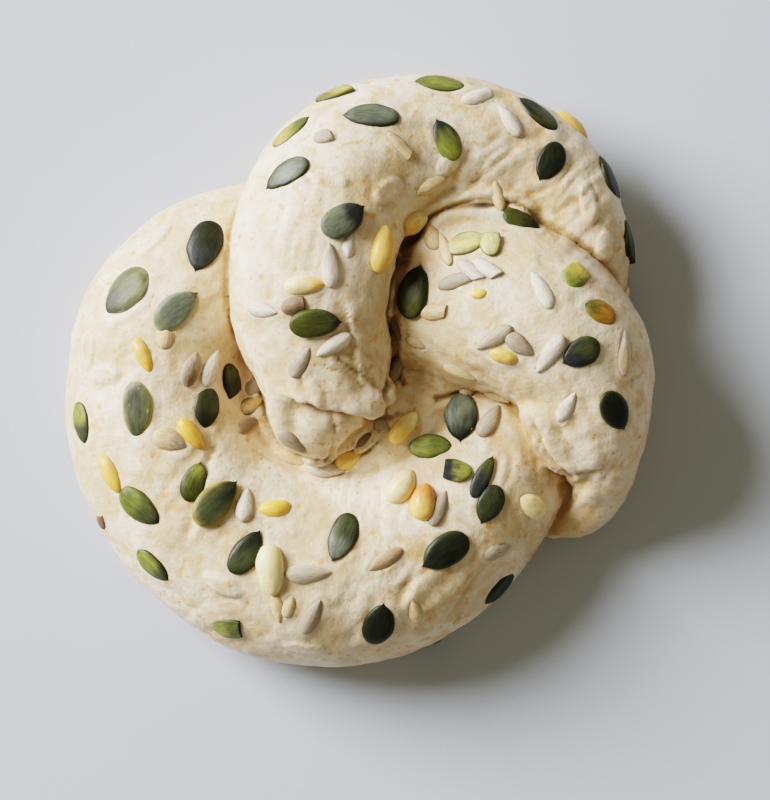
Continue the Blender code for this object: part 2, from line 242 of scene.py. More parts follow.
PINE_NUTS = (
    (381, 249, 76, 12, 6.4, "yellow", 0.1),
    (412, 221, 180, 8.4, 5.8, "ivory/yellow", 0.1),
    (305, 285, 5, 10, 4.8, "ivory/yellow", 0),
    (143, 355, 295, 9.4, 4, "yellow/golden", 0),
    (191, 434, 310, 9.2, 4.2, "golden", 0.1),
    (111, 474, 300, 10.8, 4.8, "yellow/golden", 0),
    (274, 508, 190, 8.4, 4.4, "golden", 0),
    (271, 570, 275, 13, 7, "ivory", 0.1),
    (404, 427, 50, 10, 4.8, "yellow/ivory", 0.1),
    (349, 459, 25, 7.4, 4.4, "yellow", 0),
    (401, 487, 60, 10.2, 6.4, "ivory", 0.1),
    (424, 502, 85, 9.6, 6.3, "yellow/burnt", 0.1),
    (532, 506, 150, 9.4, 6, "ivory", 0),
    (575, 122, 325, 10.6, 5, "yellow", 0),
    (504, 356, 350, 7.6, 4.4, "yellow", -0.05),
    (479, 293, 0, 4.6, 3, "yellow", -0.1),
)
# The length and width of the seeds low on the sides, which are spread all round in turn,
# between two heights.
SIDE_SIZES = {"pumpkin": (12, 7), "sunflower": (9.2, 4.2), "pine": (9.2, 3.8)}
SIDE_LOOKS = {
    "pumpkin": ("dark", "olive", "green", "greyish"),
    "sunflower": ("white", "grey", "cream", "grey"),
    "pine": ("yellow", "golden", "ivory", "yellow"),
}
SIDE_SEEDS = 12
SIDE_HEIGHTS = (4.5 * MM, 8 * MM)
SIDE_START = 100 * MM  # how far out the search for the side of the loaf starts
DRAW = 7  # starts the random draw of their heights and leans

# A kind's thickness over its width.
FLATNESS = {"pumpkin": 0.36, "sunflower": 0.6, "pine": 0.9}
SUNK = 0.53  # the share of a seed's thickness that lies in the dough
RINGS = {"pumpkin": 26, "sunflower": 18, "pine": 18}
SIDES = {"pumpkin": 24, "sunflower": 16, "pine": 18}

# Colours are linear red, green and blue.
LOOKS = {
    "dark": (0.024, 0.029, 0.017),
    # Painted sheen: a dark grey with a bluish painted reflection of the light, for the dark
    # seeds where they catch it.
    "steel": (0.036, 0.042, 0.041),
    "green": (0.06, 0.071, 0.036),
    "greyish": (0.15, 0.172, 0.13),
    "moss": (0.09, 0.097, 0.025),
    "olive": (0.17, 0.145, 0.036),
    "straw": (0.58, 0.46, 0.12),
    "lime": (0.14, 0.163, 0.04),
    "sap": (0.26, 0.28, 0.07),
    "pale": (0.7, 0.64, 0.3),
    "amber": (0.55, 0.28, 0.05),
    "dusty": (0.085, 0.092, 0.058),
    "chalk": (0.46, 0.46, 0.32),
    "grey": (0.54, 0.46, 0.36),
    "white": (0.9, 0.82, 0.72),
    "cream": (0.84, 0.63, 0.37),
    "brown": (0.26, 0.175, 0.115),
    "yellow": (0.95, 0.62, 0.2),
    "golden": (0.97, 0.58, 0.12),
    "ivory": (0.99, 0.83, 0.48),
    "burnt": (0.78, 0.3, 0.1),
    # A cream kernel darkened by painted shade on its shaded side.
    "tan": (0.45, 0.3, 0.17),
}
# How much thin pale skin is left on seeds of a look.
FILM = {"dusty": 0.4, "greyish": 0.25, "lime": 0.15, "green": 0.12}

# Places where the skin is stretched to fine folds: the middle and half size of each, in
# pixels of the view, the bearing of its folds, their spacing and their height.
STRETCHES = (
    (515, 165, 80, 45, 40, 3.8, 0.5),
    (590, 215, 45, 45, 48, 3.0, 0.35),
    (300, 250, 60, 80, 82, 5.0, 0.3),
    (382, 330, 24, 60, 88, 3.4, 0.45),
    (350, 385, 40, 35, 140, 4.0, 0.7),
    (440, 595, 90, 55, 58, 5.5, 0.5),
    (370, 505, 60, 35, 84, 2.6, 0.35),
    (520, 455, 36, 60, 80, 3.2, 0.45),
    (440, 365, 60, 30, 335, 3.6, 0.6),
    (200, 480, 50, 60, 65, 5.0, 0.4),
    (590, 420, 50, 60, 120, 4.5, 0.4),
    (600, 500, 40, 40, 40, 3.4, 0.6),
    (250, 620, 90, 40, 20, 5.0, 0.3),
    (410, 110, 90, 40, 10, 6.0, 0.25),
)
# Single folds: how deep and how wide each is and how much higher its left side lies, in
# millimetres, and its line in pixels of the view.
CREASES = (
    (2.0, 0.9, 0.0, ((404, 262), (396, 285), (391, 315), (396, 345), (393, 375), (387, 398))),
    (2.3, 1.2, 0.0, ((404, 262), (409, 242), (422, 226), (442, 211), (470, 205), (505, 206))),
    (1.4, 0.7, 0.0, ((254, 378), (261, 395), (264, 425), (277, 443), (300, 459), (318, 464))),
    (1.3, 0.7, 0.0, ((318, 464), (336, 462), (352, 452), (371, 433), (386, 414), (388, 398))),
    (1.3, 0.9, 1.7, ((306, 404), (322, 411), (350, 414), (374, 420), (388, 416))),
    (0.0, 1.0, 0.7, ((349, 320), (353, 342), (358, 366))),
    (0.9, 0.8, -0.5, ((338, 360), (352, 370), (372, 383), (388, 392))),
    (0.7, 0.8, 0.0, ((296, 369), (303, 388), (312, 404))),
    (0.9, 0.9, 0.5, ((334, 416), (337, 435), (334, 456))),
    (0.8, 0.8, 1.0, ((538, 432), (546, 452), (556, 467), (571, 475), (590, 471))),
    (1.0, 1.8, 0.0, ((565, 488), (576, 490), (590, 484))),
    (0.7, 1.2, 0.3, ((215, 450), (200, 480), (190, 530))),
    (0.55, 0.8, 0.0, ((452, 200), (474, 184), (500, 160), (521, 143))),
    (0.55, 0.8, 0.1, ((500, 205), (530, 196), (556, 182), (572, 168))),
    (0.35, 0.8, 0.0, ((472, 152), (486, 146), (500, 136))),
    (0.4, 0.7, 0.0, ((556, 212), (574, 202), (590, 186))),
    (0.7, 1.3, 0.0, ((400, 600), (412, 575), (425, 545))),
    (0.6, 1.3, 0.0, ((350, 640), (364, 618), (375, 600))),
)

# Swells of the skin that are spread by a rule: the height of each and its wavelength, in
# millimetres, and a shift that keeps it apart from the others.
SWELLS = ((0.5, 17, 0.0), (0.25, 8, 31.7), (0.2, 4.2, 11.3), (0.12, 2.2, 4.9))
FOLD_WANDER = (0.5, 3.5, 17.1)  # how far the line of a single fold strays, as for a swell
FOLD_STRENGTH = (0.6, 9, 23.9)  # how much its depth changes, as for a swell
FOLD_RIM = 2.5  # how far the raised side of a single fold reaches, in millimetres
SEAM_DEPTH = 1.5  # of the line where two strands meet, in millimetres
SEAM_WIDTH = 1.0
NEAR_SEAM = 6  # how far the painted golden shade beside such a line reaches, in millimetres
STRANDS_APART = 2.2  # the least length of rope between two strands, over its radius
BURIED = -0.15  # a seed that stands less proud than this lies beneath the skin
BURIED_SWELL = 0.6 * MM
LIP = 0.22  # height of the rim of dough round a seed, in millimetres
WIDE_ROUNDS = 60  # rounds of smoothing that find the wide creases
NARROW_ROUNDS = 6
SHORT = 1.45  # a seed whose length over its width is less than this is broken

# The stage, in metres, and the light on it.
FLOOR_HALF_WIDTH = 30
WINDOW_PLACE = (-1.84, 1.04, 1.24)
WINDOW_SIZE = 1.5
WINDOW_POWER = 130
WINDOW_COLOUR = (1, 0.98, 0.97)
ROOM_COLOUR = (1, 0.9, 0.62, 1)
ROOM_STRENGTH = 0.22
SENSOR_HEIGHT = 36


def catmull_rom(before, start, end, after, share):
    """The value at this share of the way from start to end, on a smooth curve."""
    return 0.5 * (
        2 * start
        + (end - before) * share
        + (2 * before - 5 * start + 4 * end - after) * share**2
        + (3 * (start - end) + after - before) * share**3
    )


def smooth_route(stations):
    """Points along a rope as (x, y, height of the middle, radius), in metres."""
    middles = []
    for x, y, top, width in stations:
        middle = top - ROUNDNESS * width / 2
        middles.append(Vector((x, y, middle, width / 2)) * MM)
    padded = [2 * middles[0] - middles[1], *middles, 2 * middles[-1] - middles[-2]]
    route = []
    for before, start, end, after in zip(padded, padded[1:], padded[2:], padded[3:]):
        for step in range(SAMPLES_PER_STATION):
            share = step / SAMPLES_PER_STATION
            route.append(catmull_rom(before, start, end, after, share))
    return [*route, middles[-1]]


def add_rope(mesh, route):
    """Adds a rope with round ends to a bmesh, stretched upwards by 1 / ROUNDNESS."""
    curve = bpy.data.curves.new("rope", "CURVE")
    curve.dimensions = "3D"
    curve.bevel_depth = 1
    curve.bevel_resolution = BEVEL_RESOLUTION
    curve.use_fill_caps = True
    spline = curve.splines.new("POLY")
    spline.points.add(len(route) - 1)
    for point, (x, y, z, radius) in zip(spline.points, route):
        point.co = (x, y, z / ROUNDNESS, 1)
        point.radius = radius
    holder = bpy.data.objects.new("rope", curve)
    bpy.context.scene.collection.objects.link(holder)
    graph = bpy.context.evaluated_depsgraph_get()
    tube = bpy.data.meshes.new_from_object(holder.evaluated_get(graph))
    mesh.from_mesh(tube)
    bpy.data.objects.remove(holder)
    for x, y, z, radius in (route[0], route[-1]):
        place = Matrix.Translation((x, y, z / ROUNDNESS))
        bmesh.ops.create_uvsphere(
            mesh, u_segments=32, v_segments=16, radius=radius, matrix=place
        )


def object_from(name, mesh):
    """A new object in the scene for this bmesh."""
    data = bpy.data.meshes.new(name)
    mesh.to_mesh(data)
    mesh.free()
    made = bpy.data.objects.new(name, data)
    bpy.context.scene.collection.objects.link(made)
    return made


def apply_modifiers(thing):
    """Puts the outcome of an object's modifiers in its mesh."""
    graph = bpy.context.evaluated_depsgraph_get()
    data = bpy.data.meshes.new_from_object(thing.evaluated_get(graph))
    thing.modifiers.clear()
    thing.data = data


def shells_of(mesh):
    """The sets of vertices of a bmesh that hang together, the smallest set first."""
    unseen = set(mesh.verts)
    shells = []
    while unseen:
        shell, waiting = set(), [unseen.pop()]
        while waiting:
            vertex = waiting.pop()
            shell.add(vertex)
            near = {edge.other_vert(vertex) for edge in vertex.link_edges} & unseen
            unseen -= near
            waiting.extend(near)
        shells.append(shell)
    return sorted(shells, key=len)


def keep_largest_shell(thing):
    """Fills the hollows that the body encloses, by dropping all but its outer skin."""
    mesh = bmesh.new()
    mesh.from_mesh(thing.data)
    for shell in shells_of(mesh)[:-1]:
        bmesh.ops.delete(mesh, geom=list(shell), context="VERTS")
    mesh.to_mesh(thing.data)
    mesh.free()


def make_dough():
    """The knotted rope, its folds and its fillers, fused to one fine skin."""
    ropes = bmesh.new()
    for stations in (ROPE, *FOLDS, *FILLERS):
        add_rope(ropes, smooth_route(stations))
    bmesh.ops.remove_doubles(ropes, verts=ropes.verts, dist=0.001 * MM)
    bmesh.ops.scale(ropes, vec=(1, 1, ROUNDNESS), verts=ropes.verts)
    dough = object_from("dough", ropes)
    skin = dough.modifiers.new("skin", "REMESH")
    skin.mode = "VOXEL"
    skin.voxel_size = SKIN_VOXEL
    slack = dough.modifiers.new("slack", "SMOOTH")
    slack.factor = SLACK
    slack.iterations = SKIN_SMOOTHING
    apply_modifiers(dough)
    keep_largest_shell(dough)
    return dough


def points_of(thing):
    """The places of a mesh's points, a row each."""
    points = np.empty(len(thing.data.vertices) * 3)
    thing.data.vertices.foreach_get("co", points)
    return points.reshape(-1, 3)


def normals_of(thing):
    """The outward directions at a mesh's points, a row each."""
    normals = np.empty(len(thing.data.vertices) * 3)
    thing.data.vertex_normals.foreach_get("vector", normals)
    return normals.reshape(-1, 3)


def set_points(thing, points):
    thing.data.vertices.foreach_set("co", points.ravel())
    thing.data.update()


def noise_at(points, wavelength, shift=0.0):
    """Smooth noise from -1 to 1 at each point."""
    scaled = points / wavelength + shift
    return np.array([noise.noise(Vector(point)) for point in scaled])


def swell_at(points, height, wavelength, shift):
    """The height of a swell at each point, in millimetres."""
    return height * noise_at(points, wavelength * MM, shift)


def ramp(values, low, high):
    """Eases from 0 at the low value to 1 at the high value."""
    share = np.clip((values - low) / (high - low), 0, 1)
    return share * share * (3 - 2 * share)


def on_view_plane(across, down):
    """The point at the height VIEW_PLANE that is seen at this pixel."""
    x = (across - LOAF_CENTRE[0]) * PIXEL
    y = (LOAF_CENTRE[1] - down) * PIXEL
    return Vector((x, y, VIEW_PLANE))


def seen_at(dough_tree, across, down):
    """The point and normal of the dough at this pixel, or on its nearest side."""
    eye = on_view_plane(*VIEW_CENTRE)
    eye.z = EYE_HEIGHT
    target = on_view_plane(across, down)
    point, normal, _, _ = dough_tree.ray_cast(eye, target - eye)
    if point is None:
        point, normal, _, _ = dough_tree.find_nearest(target)
    return point, normal


def top_perch(dough_tree, across, down, bearing, length, width):
    """Where a seed seen from above lies: its point, its outward and its tip direction.

    They are averaged over the middle, the ends and the sides of the seed.
    """
    turn = math.radians(bearing)
    reach = Vector((math.cos(turn), -math.sin(turn))) * 0.3 * length * MM / PIXEL
    spread = Vector((math.sin(turn), math.cos(turn))) * 0.3 * width * MM / PIXEL
    point, outward = Vector(), Vector()
    for step in (Vector((0, 0)), reach, -reach, spread, -spread):
        spot, normal = seen_at(dough_tree, across + step.x, down + step.y)
        point += spot / 5
        outward += normal
    return point, outward.normalized(), Vector((math.cos(turn), math.sin(turn), 0))


def side_perch(dough_tree, bearing, height, lean):
    """Where a seed on the side of the loaf lies, as top_perch gives it."""
    away = Vector((math.cos(bearing), math.sin(bearing), 0))
    start = away * SIDE_START + Vector((0, 0, height))
    point, outward, _, _ = dough_tree.ray_cast(start, -away)
    level = Vector((-away.y, away.x, 0))
    return point, outward, level * math.cos(lean) + Vector((0, 0, math.sin(lean)))


def place_of(perch, kind, length, width, look, rise):
    """Where and how a seed lies, as named values."""
    point, outward, heading = perch
    along = (heading - outward * heading.dot(outward)).normalized()
    thickness = FLATNESS[kind] * width * MM
    middle = point + outward * (0.5 - SUNK + rise) * thickness
    turn = Matrix((along, outward.cross(along), outward)).transposed()
    return {
        "kind": kind,
        "middle": middle,
        "turn": turn,
        "size": Vector((length * MM, width * MM, thickness)),
        "look": look,
        "rise": rise,
    }


def strew_seeds(dough):
    """The places of all the seeds, worked out on the smooth dough."""
    skin = bmesh.new()
    skin.from_mesh(dough.data)
    dough_tree = BVHTree.FromBMesh(skin)
    skin.free()
    kinds = {"pumpkin": PUMPKIN_SEEDS, "sunflower": SUNFLOWER_SEEDS, "pine": PINE_NUTS}
    places = []
    for kind, rows in kinds.items():
        for across, down, bearing, length, width, look, rise in rows:
            perch = top_perch(dough_tree, across, down, bearing, length, width)
            places.append(place_of(perch, kind, length, width, look, rise))
    draw = random.Random(DRAW)
    for number in range(SIDE_SEEDS):
        kind = list(kinds)[number % len(kinds)]
        bearing = math.tau * (number + 0.5) / SIDE_SEEDS
        height = draw.uniform(*SIDE_HEIGHTS)
        perch = side_perch(dough_tree, bearing, height, draw.uniform(0, math.pi))
        look = SIDE_LOOKS[kind][number // len(kinds) % 4]
        places.append(place_of(perch, kind, *SIDE_SIZES[kind], look, -0.1))
    return places


def seen_pixels(points):
    """The pixel across and down at which each point is seen."""
    eye = np.array(on_view_plane(*VIEW_CENTRE))[:2]
    share = (EYE_HEIGHT - VIEW_PLANE) / (EYE_HEIGHT - points[:, 2])
    flat = eye + (points[:, :2] - eye) * share[:, None]
    return LOAF_CENTRE[0] + flat[:, 0] / PIXEL, LOAF_CENTRE[1] - flat[:, 1] / PIXEL


def folds_at(across, athwart, spacing):
    """Rounded folds with narrow valleys, 0 to about 1, drawn out along one way."""
    heights = []
    for along, beside in zip(across / (5.5 * spacing), athwart / spacing):
        bend = noise.noise((along * 1.7, beside * 0.35, 7.7))
        heights.append(abs(noise.noise((along, beside + 0.9 * bend, 3.3))))
    return np.minimum(np.array(heights) * 2.6, 1) ** 0.8


def stretch_marks(points, facing):
    """The height of the fine folds at each point."""
    across, down = seen_pixels(points)
    height = np.zeros(len(points))
    for x, y, wide, tall, bearing, spacing, size in STRETCHES:
        share = np.hypot((across - x) / wide, (down - y) / tall)
        near = np.nonzero((share < 1.5) & facing)[0]
        turn = math.radians(bearing)
        right = (across[near] - x) * PIXEL / MM
        up = (y - down[near]) * PIXEL / MM
        along = right * math.cos(turn) + up * math.sin(turn) + x
        beside = up * math.cos(turn) - right * math.sin(turn) + y
        weight = 1 - ramp(share[near], 0.5, 1.5)
        height[near] += weight * size * (folds_at(along, beside, spacing) - 0.6)
    return height


def crease_lines(points, facing):
    """The height that the single folds give each point, and how much painted shade it gets in
    them.
    """
    across, down = seen_pixels(points)
    height = np.zeros(len(points))
    shade = np.zeros(len(points))
    wander = swell_at(points, *FOLD_WANDER)
    strength = 0.75 + swell_at(points, *FOLD_STRENGTH)
    for depth, width, step, line in CREASES:
        corners = np.array(line, float)
        away = np.full(len(points), np.inf)
        side = np.zeros(len(points))
        for start, end in zip(corners, corners[1:]):
            run = end - start
            gap_x, gap_y = across - start[0], down - start[1]
            share = np.clip((gap_x * run[0] + gap_y * run[1]) / (run @ run), 0, 1)
            far_x, far_y = gap_x - share * run[0], gap_y - share * run[1]
            distance = np.hypot(far_x, far_y) * PIXEL / MM
            closer = distance < away
            away[closer] = distance[closer]
            left = run[1] * far_x - run[0] * far_y
            side[closer] = np.sign(left[closer])
        away = np.abs(away + wander)
        inside = np.exp(-((away / width) ** 2)) * strength
        rim = step * side * np.tanh(away / 0.5) * np.exp(-away / FOLD_RIM)
        height += np.where(facing, rim - depth * inside, 0)
        shade = np.maximum(shade, inside * facing * min(depth / 2, 1))
    return height, shade


def seam_gap(points):
    """How far each point lies from the line where two strands meet, in millimetres."""
    route = np.array(smooth_route(ROPE))
    middles = route[:, :3] * (1, 1, 1 / ROUNDNESS)
    steps = np.linalg.norm(np.diff(middles, axis=0), axis=1)
    lengths = np.concatenate([[0], np.cumsum(steps)])
    gaps = np.full(len(points), 99.0)
    for first in range(0, len(points), 4000):
        part = points[first : first + 4000] * (1, 1, 1 / ROUNDNESS)
        share = np.linalg.norm(part[:, None] - middles[None], axis=2) / route[None, :, 3]
        best = share.argmin(axis=1)
        nearest = share.min(axis=1)
        apart = np.abs(lengths[None] - lengths[best][:, None])
        far = apart > STRANDS_APART * route[best, 3][:, None]
        other = np.where(far, share, 9).min(axis=1)
        outside = 30 * ramp(nearest, 1.2, 1.5)
        gaps[first : first + 4000] = (other - nearest) * route[best, 3] / MM + outside
    return gaps


def lump_dough(dough):
    """Gives the plain rope the swells, folds and seams of dough shaped by hand."""
    points, normals = points_of(dough), normals_of(dough)
    facing = normals[:, 2] > 0.05
    level = ramp(normals[:, 2], 0.25, 0.75)
    gap = seam_gap(points)
    seam = np.exp(-((gap / SEAM_WIDTH) ** 2))
    height, shade = crease_lines(points, facing)
    height += stretch_marks(points, facing) - SEAM_DEPTH * seam * level
    for swell in SWELLS:
        height += swell_at(points, *swell)
    points += normals * height[:, None] * MM
    points[:, 2] = np.maximum(points[:, 2], 0)
    set_points(dough, points)
    # Masks for the painted shade that the material lays along the seams, in the folds and
    # beside the seams.
    store(dough, "seam", seam)
    store(dough, "shade", ramp(shade, 0.25, 1))
    store(dough, "near_seam", np.exp(-((gap / NEAR_SEAM) ** 2)))


def press_seeds(dough, places):
    """Swells the skin round the seeds, and over those that lie beneath it."""
    points, normals = points_of(dough), normals_of(dough)
    change = np.zeros(len(points))
    for place in places:
        gap = points - np.array(place["middle"])
        length, width, thickness = place["size"]
        near = np.nonzero((gap**2).sum(axis=1) < (0.9 * length) ** 2)[0]
        local = gap[near] @ np.array(place["turn"])
        share = np.hypot(local[:, 0] / (0.5 * length), local[:, 1] / (0.5 * width))
        reach = np.abs(local[:, 2]) < 2 * thickness + 1.5 * MM
        if place["rise"] < BURIED:
            swell = BURIED_SWELL * (1 - ramp(share, 0.9, 1.2))
        else:
            lip = max(LIP - 0.8 * place["rise"], 0) * MM
            swell = lip * np.exp(-(((share - 1.1) / 0.25) ** 2))
        change[near] += swell * reach
    points += normals * change[:, None]
    points[:, 2] = np.maximum(points[:, 2], 0)
    set_points(dough, points)


def crease_depth(thing, rounds):
    """How deep each point lies in a crease, from a strongly smoothed copy."""
    copy = thing.copy()
    copy.data = thing.data.copy()
    bpy.context.scene.collection.objects.link(copy)
    smooth = copy.modifiers.new("smooth", "SMOOTH")
    smooth.factor = 0.9
    smooth.iterations = rounds
    apply_modifiers(copy)
    depth = ((points_of(copy) - points_of(thing)) * normals_of(thing)).sum(axis=1)
    bpy.data.objects.remove(copy)
    return depth


def store(thing, name, values):
    """Keeps a number for each point, which the material reads."""
    layer = thing.data.attributes.new(name, "FLOAT", "POINT")
    layer.data.foreach_set("value", np.asarray(values, np.float32))


def peaked(share, tip, base):
    """A drop's half width from -1 to its tip at 1: the higher tip is, the sharper."""
    widest = (base - tip) / (base + tip)
    most = (1 - widest) ** tip * (1 + widest) ** base
    return max(1 - share, 0) ** tip * max(1 + share, 0) ** base / most


def kernel_outline(kind, share):
    """Half width and half thickness of a whole seed, at a share from -1 to its tip."""
    if kind == "pumpkin":
        body = (share + 1) / 1.86 * 2 - 1
        wide = peaked(min(body, 1), 0.6, 0.5)
        nib = 0.24 * (1 - ramp(share, 0.7, 1.0))
        thick = max(peaked(min(body, 1), 0.4, 0.36), 2.0 * nib * (share > 0.6))
        return max(wide, nib * (share > 0.6)), thick
    if kind == "sunflower":
        wide = peaked(share, 0.8, 0.5)
        return wide, wide**0.8
    wide = peaked(share, 0.6, 0.44)
    return wide, wide


def section_point(kind, angle):
    """A point of the outline of a seed's section."""
    y, z = math.cos(angle), math.sin(angle)
    if kind == "pumpkin":
        return math.copysign(abs(y) ** 0.85, y), math.copysign(abs(z) ** 0.72, z)
    if kind == "sunflower":
        ridged = 1 + 0.06 * math.cos(4 * angle)
        return y * ridged, math.copysign(abs(z) ** 0.85, z) * ridged
    return y, z


def seed_colour(look, share, edge, tone):
    """The colour of a seed at a share from -1 to its tip, and at its edge from 0 to 1."""
    body, *others = (Vector(LOOKS[name]) for name in look.split("/"))
    colour = body.lerp(others[0], float(ramp(share, -0.35, 0.6))) if others else body
    if len(others) > 1:
        colour = colour.lerp(others[1], edge)
    return (*(colour * tone), 1)


def add_seed(place, build, draw):
    """Adds one seed to the lists in build, with its wobble, bend and colour."""
    kind, size = place["kind"], place["size"]
    look, *form = place["look"].split()
    rings, sides = RINGS[kind], SIDES[kind]
    broken = "chip" in form or size.x < SHORT * size.y
    last = draw.uniform(0.2, 0.45) if broken else 1.0
    bend = draw.uniform(-0.05, 0.05)
    tone = draw.uniform(0.88, 1.12)
    wobble = draw.uniform(0, 50)
    slant = draw.uniform(-0.35, 0.35) if broken else 0
    start = len(build["points"])
    for ring in range(rings + 1):
        share = -1 + (last + 1) * (1 - math.cos(math.pi * ring / rings)) / 2
        wide, thick = kernel_outline(kind, share)
        if broken and ring == rings:
            wide, thick = 0.02, 0.02
        far = 2 * (share + 1) / (last + 1) - 1
        for side in range(1 if ring in (0, rings) else sides):
            y, z = section_point(kind, math.tau * side / sides)
            spot = Vector((far, y * wide, z * thick))
            rough = noise.noise(spot * 1.7 + Vector((wobble, 0, 0)))
            spot.y *= 1 + 0.08 * rough
            spot.z *= 1 + 0.14 * rough
            spot.x += slant * spot.y * max(far, 0)
            spot.y += bend * (1 - far**2) * 2
            local = Vector((spot.x * size.x, spot.y * size.y, spot.z * size.z)) / 2
            point = place["middle"] + place["turn"] @ local
            point.z = max(point.z, 0)
            build["points"].append(point)
            build["spot"].append((share, y * wide, wobble + 0.4 * z * thick))
            edge = max(abs(y) ** 6, abs(far) ** 10)
            build["tint"].append(seed_colour(look, far + 0.5 * rough, edge, tone))
            build["rim"].append(max(abs(y) ** 5, abs(share) ** 9))
            build["film"].append(FILM.get(look.split("/")[0], 0.0))
    for ring in range(rings):
        low = start + (0 if ring == 0 else 1 + (ring - 1) * sides)
        high = start + 1 + ring * sides
        for side in range(sides):
            after = (side + 1) % sides
            if ring == 0:
                build["faces"].append((low, high + after, high + side))
            elif ring == rings - 1:
                build["faces"].append((low + side, low + after, high))
            else:
                row = (low + side, low + after, high + after, high + side)
                build["faces"].append(row)


def make_seeds(name, kind, places):
    """All the seeds of one kind as one piece."""
    keys = ("points", "faces", "spot", "tint", "rim", "film")
    build = {key: [] for key in keys}
    draw = random.Random(name)
    for place in places:
        if place["kind"] == kind:
            add_seed(place, build, draw)
    data = bpy.data.meshes.new(name)
    data.from_pydata(build["points"], [], build["faces"])
    spots = data.attributes.new("spot", "FLOAT_VECTOR", "POINT")
    spots.data.foreach_set("vector", np.array(build["spot"], np.float32).ravel())
    tint = data.attributes.new("tint", "FLOAT_COLOR", "POINT")
    tint.data.foreach_set("color", np.array(build["tint"], np.float32).ravel())
    data.shade_smooth()
    made = bpy.data.objects.new(name, data)
    bpy.context.scene.collection.objects.link(made)
    store(made, "rim", build["rim"])
    store(made, "film", build["film"])
    return made


class Nodes:
    """Builds a material's nodes with few words."""

    def __init__(self, name):
        self.material = bpy.data.materials.new(name)
        self.material.use_nodes = True
        self.tree = self.material.node_tree
        self.shader = self.tree.nodes["Principled BSDF"]

    def put(self, socket, value):
        if isinstance(value, bpy.types.NodeSocket):
            self.tree.links.new(value, socket)
        elif isinstance(value, tuple) and socket.type == "RGBA":
            socket.default_value = (*value[:3], 1)
        else:
            socket.default_value = value

    def node(self, kind, inputs=(), **settings):
        made = self.tree.nodes.new(kind)
        for name, value in settings.items():
            setattr(made, name, value)
        for name, value in dict(inputs).items():
            self.put(made.inputs[name], value)
        return made

    def math(self, operation, first, second=0.5, third=0.5):
        made = self.node("ShaderNodeMath", operation=operation)
        for socket, value in zip(made.inputs, (first, second, third)):
            self.put(socket, value)
        return made.outputs[0]

    def mix(self, factor, first, second, blend="MIX"):
        made = self.node("ShaderNodeMix", data_type="RGBA", blend_type=blend)
        self.put(made.inputs[0], factor)
        self.put(made.inputs[6], first)
        self.put(made.inputs[7], second)
        return made.outputs[2]

    def ramp(self, value, low, high, start=0.0, end=1.0):
        inputs = {"Value": value, 1: low, 2: high, 3: start, 4: end}
        made = self.node("ShaderNodeMapRange", inputs, interpolation_type="SMOOTHSTEP")
        return made.outputs[0]

    def attribute(self, name):
        return self.node("ShaderNodeAttribute", attribute_name=name)

    def noise(self, vector, scale, detail=3.0, rough=0.5, distortion=0.0):
        inputs = {
            "Vector": vector,
            "Scale": scale,
            "Detail": detail,
            "Roughness": rough,
            "Distortion": distortion,
        }
        return self.node("ShaderNodeTexNoise", inputs).outputs[0]

    def place(self):
        return self.node("ShaderNodeTexCoord").outputs["Object"]

    def stretch(self, vector, scale):
        return self.node("ShaderNodeMapping", {"Vector": vector, "Scale": scale}).outputs[0]

    def bump(self, height, strength, distance, normal=None):
        inputs = {"Height": height, "Strength": strength, "Distance": distance}
        if normal is not None:
            inputs["Normal"] = normal
        return self.node("ShaderNodeBump", inputs).outputs[0]


def flecks(nodes, place, spacing, size, share):
    """1 inside scattered ragged specks of about this size, 0 elsewhere."""
    ragged = {"Vector": place, "Scale": 0.8 / size, "Detail": 4.0, "Roughness": 0.65}
    wobble = nodes.node("ShaderNodeTexNoise", ragged)
    shifted = nodes.node(
        "ShaderNodeVectorMath",
        {0: wobble.outputs["Color"], 1: (1.8 * size, 1.8 * size, 1.8 * size)},
        operation="MULTIPLY_ADD",
    )
    nodes.put(shifted.inputs[2], place)
    cells = nodes.node(
        "ShaderNodeTexVoronoi", {"Vector": shifted.outputs[0], "Scale": 1 / spacing}
    )
    chance = nodes.node("ShaderNodeSeparateColor", {"Color": cells.outputs["Color"]})
    inside = nodes.ramp(cells.outputs["Distance"], 0.8 * size / spacing, 0.2 * size / spacing)
    chosen = nodes.math("LESS_THAN", chance.outputs[0], share)
    return nodes.math("MULTIPLY", inside, chosen)


